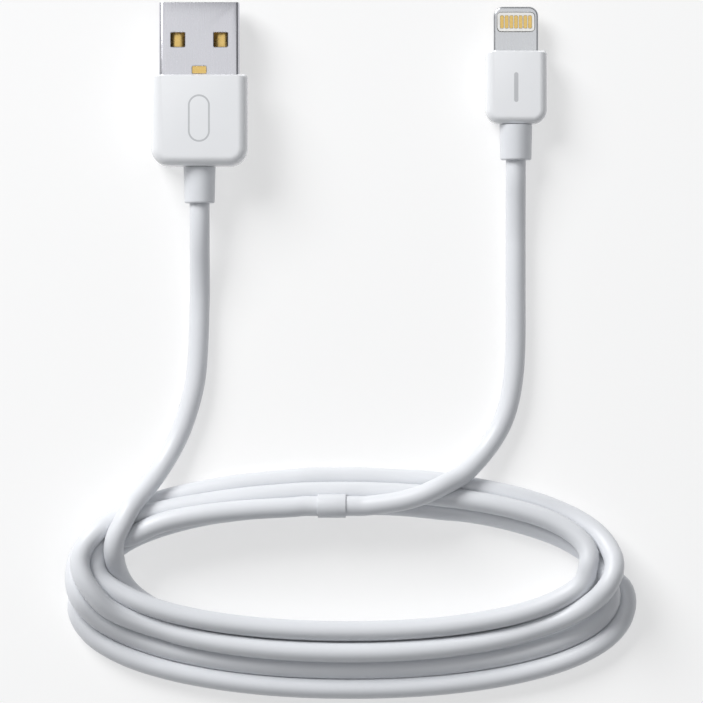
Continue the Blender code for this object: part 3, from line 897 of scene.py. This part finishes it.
CONTACT_ROW = contact_row_tree()
CONTACT_COUNT, CONTACT_PITCH = 7, 0.7 * MM
CONTACT_SIZE, CONTACT_CORNER = (0.52 * MM, 1.9 * MM, 0.2 * MM), 0.2 * MM
TAB_CENTRE = Vector((25.0, 12.2, 2.6)) * MM
TAB_HALF = 0.75 * MM


def contact_row(name, side, grow=0.0):
    """The row on one face of the tab; grow makes it a cutting tool, larger all round."""
    width, length, thickness = CONTACT_SIZE
    row = run_tree(
        name, bpy.data.meshes.new(name + "_seed"), CONTACT_ROW,
        Count=CONTACT_COUNT, Pitch=CONTACT_PITCH, Start=-CONTACT_PITCH * (CONTACT_COUNT - 1) / 2,
        Width=width + 2 * grow, Length=length + 2 * grow, Corner=CONTACT_CORNER,
        Thickness=thickness + 2 * grow, Finish=FINISHES["contact_gold"],
    )
    row.data.transform(Matrix.Translation((0.0, 0.0, TAB_HALF - thickness - grow)))
    if side < 0:
        row.data.transform(Matrix.Rotation(math.pi, 4, "Y"))
    row.data.transform(Matrix.Translation(TAB_CENTRE))
    return row


for side, face in ((1, "upper"), (-1, "lower")):
    nodes = [f"tab_contact_{face}_{i + 1}" for i in range(CONTACT_COUNT)]
    stand_for(contact_row(f"contacts_{face}", side), "tab_plug", "contact_gold", *nodes)

# %% [markdown]
# The tab's frame is one piece of steel with softly rolled edges and a window straight through it.
# The insert fills the window from both faces, a little below the steel. It is cut with the row's
# own shape, so each contact lies in a pocket with an even gap around it.

# %% Tab frame and insert
TAB_RADII, TAB_ROLL, TAB_STEPS = (1.4 * MM, 0.1 * MM), 0.32 * MM, 6
INSERT_CORNER, INSERT_GAP, INSERT_DROP = 0.55 * MM, 0.05 * MM, 0.03 * MM
TAB_CHAMFER, POCKET_GAP = 0.1 * MM, 0.04 * MM
NO_SHIFT = Vector((0.0, 0.0, 0.0))


def steel_tab(insert_low, insert_high):
    low, high = box_of("tab_frame")
    shape = pillow(
        high.x - low.x, low.y, high.y, high.z - low.z, TAB_RADII, TAB_ROLL, MM, TAB_STEPS
    )
    tab = as_piece("steel_tab", shape, centreline(low, high), "tab_steel")
    window = prism(
        (insert_low.x - INSERT_GAP, insert_low.y - INSERT_GAP),
        (insert_high.x + INSERT_GAP, insert_high.y + INSERT_GAP),
        INSERT_CORNER + INSERT_GAP, low.z - CLEAR, high.z + CLEAR, TAB_CHAMFER,
    )
    cut_away(tab, [as_piece("tab_window_tool", window, NO_SHIFT, "tab_steel")], 30)
    stand_for(tab, "tab_plug", "tab_steel", "tab_frame")


def contact_insert(low, high):
    body = prism(low.xy, high.xy, INSERT_CORNER, low.z + INSERT_DROP, high.z - INSERT_DROP)
    insert = as_piece("contact_insert", body, NO_SHIFT, "tab_insulator")
    cut_away(insert, [contact_row("pocket_tool", side, POCKET_GAP) for side in (1, -1)], 30)
    stand_for(insert, "tab_plug", "insulator", "tab_insert")


steel_tab(*box_of("tab_insert"))
contact_insert(*box_of("tab_insert"))

# %% [markdown]
# ## The cord
#
# The route starts as a plan drawn from above. The two leads are a few listed points.
# One tight return, hidden under the right end, lets both leads enter the coil the same way round.

# %% Cord sizes and the listed leads
CORD_DIAMETER = 3.0 * MM
KEEPER_CENTRE = sum(box_of("keeper_sleeve"), Vector()) / 2
MOUTH_DEPTH = 0.8          # mm that the cord reaches into a collar's mouth

USB_LEAD = [
    (-22.4, -15.0 + MOUTH_DEPTH, 4.0),
    (-22.4, -18.0, 3.85),
    (-22.4, -21.0, 3.4),
    (-22.4, -24.5, 2.5),
    (-22.4, -28.5, 1.7),
    (-22.5, -32.0, 1.5),
    (-22.6, -36.0, 1.5),
    (-23.0, -41.7, 1.5),
    (-23.7, -44.6, 1.5),
    (-24.5, -47.3, 1.6),
    (-25.5, -49.9, 1.9),
    (-26.7, -52.2, 2.5),
    (-28.1, -54.5, 3.6),
    (-29.3, -56.3, 6.5),
    (-31.3, -58.8, 8.4),
    (-33.3, -61.4, 9.4),
    (-34.7, -64.2, 8.4),
    (-35.5, -66.8, 5.6),
    (-35.6, -69.3, 3.0),
    (-34.7, -71.7, 1.6),
]
HIDDEN_RETURN = [
    (-32.6, -73.9, 1.5),
    (-29.6, -75.7, 1.5),
    (-25.2, -77.5, 1.5),
    (-18.0, -79.2, 1.5),
    (-9.0, -80.3, 1.5),
    (0.0, -80.6, 1.5),
    (9.0, -80.3, 1.5),
    (17.0, -79.3, 1.5),
    (25.0, -77.4, 1.5),
    (30.5, -75.2, 1.5),
    (34.0, -72.9, 1.5),
    (36.4, -71.25, 1.5),
    (38.5, -70.6, 1.5),
    (40.6, -71.25, 1.5),
    (41.9, -73.0, 1.5),
    (42.1, -74.0, 1.5),
]
TAB_LEAD = [
    (6.5, -59.75, 5.95),
    (10.8, -58.8, 6.8),
    (16.2, -56.5, 6.6),
    (18.7, -54.1, 3.6),
    (19.5, -53.3, 2.9),
    (21.2, -51.2, 2.2),
    (22.7, -48.9, 1.8),
    (23.8, -46.2, 1.6),
    (24.4, -43.5, 1.5),
    (24.8, -40.5, 1.5),
    (25.0, -37.0, 1.5),
    (25.0, -28.0, 1.5),
    (25.0, -20.0, 1.5),
    (25.0, -15.0, 2.0),
    (25.0, -11.5, 2.5),
    (25.0, -8.5 + MOUTH_DEPTH, 2.6),
]

# %% [markdown]
# A turn of the coil needs only four stations: its left, front, right and back, each with a
# height. A quarter of an oval joins each station to the next. An ellipse would pinch the coil's
# ends tighter than a cord likes to bend, and a superellipse with a power a little over 2 keeps
# the same width and depth with rounder ends.

# %% The coil's turns, by rule
FULLNESS = 2.1
# side or middle of a turn: x, y in mm, and the height of the centreline in cord diameters
TURN_STATIONS = [
    ("side", 41.9, -75.4, 0.5), ("middle", 0.3, -87.9, 0.5), ("side", -41.0, -75.6, 0.5),
    ("side", -40.9, -74.0, 0.5), ("middle", 0.0, -59.9, 0.5), ("side", 39.3, -73.2, 0.9),
    ("side", 39.9, -73.7, 1.2), ("middle", 0.0, -84.9, 0.5), ("side", -41.0, -72.4, 1.5),
    ("side", -41.0, -69.4, 1.5), ("middle", 0.0, -56.4, 0.5), ("side", 39.9, -69.2, 1.7),
    ("middle", 0.0, -82.2, 1.37), ("side", -40.8, -68.9, 2.4),
    ("middle", 0.0, -58.3, 1.26), ("side", 36.9, -68.7, 1.6),
    ("middle", 0.0, -79.15, 1.37), ("side", -38.5, -68.4, 1.8),
    ("middle", -3.0, -60.3, 2.0),
]


def station_point(station):
    _, x, y, height = station
    return x, y, height * CORD_DIAMETER / MM


def quarter_turn(start, end, steps=9):
    """Points along a quarter of a superellipse, from one station towards the next."""
    kind, x0, y0, low = start
    _, x1, y1, high = end
    from_side = kind == "side"
    centre_x, centre_y = (x1, y0) if from_side else (x0, y1)
    reach_x = (x0 if from_side else x1) - centre_x
    reach_y = (y1 if from_side else y0) - centre_y
    power = 2 / FULLNESS
    points = []
    for step in range(steps):
        part = step / steps
        turn = math.radians(90 * part)
        across, along = math.cos(turn) ** power, math.sin(turn) ** power
        if not from_side:
            across, along = along, across
        ease = part * part * (3 - 2 * part)
        height = (low + (high - low) * ease) * CORD_DIAMETER / MM
        points.append((centre_x + reach_x * across, centre_y + reach_y * along, height))
    return points


def wound_turns():
    points = []
    for start, end in zip(TURN_STATIONS, TURN_STATIONS[1:]):
        points += [station_point(start)] if start[0] == end[0] else quarter_turn(start, end)
    return points + [station_point(TURN_STATIONS[-1])]


# %% [markdown]
# The plan's points are far apart, so a smooth curve is drawn through them. A centripetal
# Catmull-Rom curve passes through every point without overshooting where they lie close.

# %% A smooth curve through points
def between(a, b, start, end, t):
    """The point at t on the straight line from a, at start, to b, at end."""
    return ((end - t) * a + (t - start) * b) / (end - start)


def smooth_curve(points, spacing, pieces=12):
    """Evenly spaced points on a centripetal Catmull-Rom curve through the given ones."""
    points = np.array(points, float)
    padded = np.vstack([2 * points[0] - points[1], points, 2 * points[-1] - points[-2]])
    curve = []
    for p0, p1, p2, p3 in zip(padded, padded[1:], padded[2:], padded[3:]):
        spans = [np.linalg.norm(b - a) ** 0.5 for a, b in ((p0, p1), (p1, p2), (p2, p3))]
        k0, k1, k2, k3 = np.cumsum([0.0] + spans)
        for t in np.linspace(k1, k2, pieces, endpoint=False):
            a1 = between(p0, p1, k0, k1, t)
            a2 = between(p1, p2, k1, k2, t)
            a3 = between(p2, p3, k2, k3, t)
            b1, b2 = between(a1, a2, k0, k2, t), between(a2, a3, k1, k3, t)
            curve.append(between(b1, b2, k1, k2, t))
    curve.append(points[-1])
    curve = np.array(curve)
    steps = np.linalg.norm(np.diff(curve, axis=0), axis=1)
    walked = np.concatenate([[0.0], np.cumsum(steps)])
    stops = np.linspace(0.0, walked[-1], int(round(walked[-1] / spacing)) + 1)
    return np.stack([np.interp(stops, walked, curve[:, k]) for k in range(3)], axis=1)


plan = smooth_curve(USB_LEAD + HIDDEN_RETURN + wound_turns() + TAB_LEAD, spacing=1.0)
print("the plan has", len(plan), "points, 1 mm apart")

# %% [markdown]
# The plan says which strand lies over which, but not exactly how high. So the cord is let go: in
# each round every point sinks a little, the cord smooths itself as its stiffness does, and any two
# strands closer than a diameter push each other apart. After a few hundred rounds the turns rest
# on each other and on the table, as they do when a real cable is put down. This is a geometric
# rule, chosen because it is quick and always gives the same result, and not a physical simulation.

# %% Settling under its own weight
SETTLE_ROUNDS = 320
REST_ROUNDS = 24           # the last ones, far gentler, in which the turns ease apart
REST_EASE = 0.2
SINK_PER_ROUND = 0.02
STIFFNESS, STIFFNESS_PASSES = 0.25, 2
PULL_TO_PLAN = 0.15
PUSH_PASSES = 3
LOOK_AGAIN = 10            # rounds between searches for strands that lie close
CLOSE, SAME_STRAND = 1.8, 2.2            # in cord diameters
HELD_AT_USB, HELD_AT_TAB = 17.0, 14.0    # mm of cord that a collar holds straight
HELD_IN_KEEPER = (5.2, 1.0)              # mm to each side of the keeper's middle
KEEPER_STRETCH = 150.0                   # mm before the tab end, where the keeper sits


def held_points(plan):
    """Points that something holds: straight out of each collar, and inside the keeper sleeve."""
    centre = np.array(KEEPER_CENTRE) / MM
    walked = np.arange(len(plan), dtype=float)
    left = walked[-1] - walked
    in_keeper = left < KEEPER_STRETCH
    for axis, reach in enumerate(HELD_IN_KEEPER):
        in_keeper &= np.abs(plan[:, axis] - centre[axis]) < reach
    plan[in_keeper, 1:] = centre[1:]
    return (walked < HELD_AT_USB) | (left < HELD_AT_TAB) | in_keeper


def push_apart(points, a, b, diameter):
    """Move the two points of each close pair apart, until they are a diameter from each other."""
    gap = points[b] - points[a]
    apart = np.linalg.norm(gap, axis=1)
    hit = apart < diameter
    push = ((diameter - apart[hit]) / (2 * apart[hit]))[:, None] * gap[hit]
    moved, count = np.zeros_like(points), np.zeros(len(points))
    for index, way in ((a[hit], -push), (b[hit], push)):
        np.add.at(moved, index, way)
        np.add.at(count, index, 1)
    points += moved / np.maximum(count, 1)[:, None]
    points[:, 2] = np.maximum(points[:, 2], diameter / 2)


def settle(plan):
    diameter = CORD_DIAMETER / MM
    held = held_points(plan)
    points = plan.copy()
    first, second = np.triu_indices(len(points), int(round(SAME_STRAND * diameter)))
    for turn in range(SETTLE_ROUNDS + REST_ROUNDS):
        ease = 1.0 if turn < SETTLE_ROUNDS else REST_EASE
        points[:, 2] -= SINK_PER_ROUND * ease
        for _ in range(STIFFNESS_PASSES):
            points[1:-1] += STIFFNESS * ease * (points[:-2] + points[2:] - 2 * points[1:-1])
        points[:, :2] += PULL_TO_PLAN * ease * (plan[:, :2] - points[:, :2])
        if turn % LOOK_AGAIN == 0:
            apart = np.linalg.norm(points[second] - points[first], axis=1)
            close = apart < CLOSE * diameter
            a, b = first[close], second[close]
        for _ in range(PUSH_PASSES):
            push_apart(points, a, b, diameter)
        points[held] = plan[held]
    return points


LAID_SPACING = 0.8
laid = smooth_curve(settle(plan), LAID_SPACING, pieces=4) * MM
print("cord points:", len(laid), "highest centreline, mm:", round(laid[:, 2].max() / MM, 2))

# %% [markdown]
# A cord is a circle swept along a line, which is what Geometry Nodes' Curve to Mesh does. The
# same tree makes both stretches.

# %% A swept tube in Geometry Nodes
CORD_SIDES, CORD_WELD = 24, 1e-6


def cord_tree():
    tree, given = new_tree("swept_cord", [
        ("Radius", "NodeSocketFloat"), ("Sides", "NodeSocketInt"), ("Finish", "NodeSocketMaterial"),
    ])
    line = tree_node(tree, "GeometryNodeMeshToCurve", Mesh=given["Geometry"])
    circle = tree_node(
        tree, "GeometryNodeCurvePrimitiveCircle", Resolution=given["Sides"], Radius=given["Radius"]
    )
    tube = tree_node(
        tree, "GeometryNodeCurveToMesh", Curve=line[0], Profile_Curve=circle[0], Fill_Caps=True
    )
    smooth = tree_node(tree, "GeometryNodeSetShadeSmooth", Geometry=tube[0])
    return finish_tree(tree, smooth[0], given["Finish"])


def polyline(name, points):
    mesh = bpy.data.meshes.new(name + "_line")
    mesh.from_pydata(points.tolist(), [(i, i + 1) for i in range(len(points) - 1)], [])
    return mesh


def path_length(points):
    return float(np.linalg.norm(np.diff(points, axis=0), axis=1).sum())


SWEEP = cord_tree()


def swept(name, points):
    cord = run_tree(
        name, polyline(name, points), SWEEP,
        Radius=CORD_DIAMETER / 2, Sides=CORD_SIDES, Finish=FINISHES["white_cord"],
    )
    bm = bmesh.new()
    bm.from_mesh(cord.data)
    bmesh.ops.remove_doubles(bm, verts=bm.verts, dist=CORD_WELD)
    bmesh.ops.recalc_face_normals(bm, faces=bm.faces)
    bm.to_mesh(cord.data)
    bm.free()
    cord.data.shade_smooth()
    print(name, "is", round(path_length(points), 4), "m long")
    return cord


# %% [markdown]
# The real cord is one piece. Here it is two stretches that meet inside the keeper sleeve, where
# nobody sees the joint.

# %% Lay both stretches
tail = int(round(KEEPER_STRETCH / LAID_SPACING))
to_keeper = np.linalg.norm(laid[-tail:] - np.array(KEEPER_CENTRE), axis=1)
meet = len(laid) - tail + int(np.argmin(to_keeper))
coiled_points = laid[:meet + 1]
tab_points = laid[meet:][::-1]

coiled_cord = swept("coiled_cord", coiled_points)
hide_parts("usb_lead", "cord_coil")
tab_cord = swept("tab_cord", tab_points)
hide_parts("tab_lead")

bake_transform(coiled_cord)
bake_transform(tab_cord)
print("the cord is", round(path_length(laid), 3), "m from plug to plug")
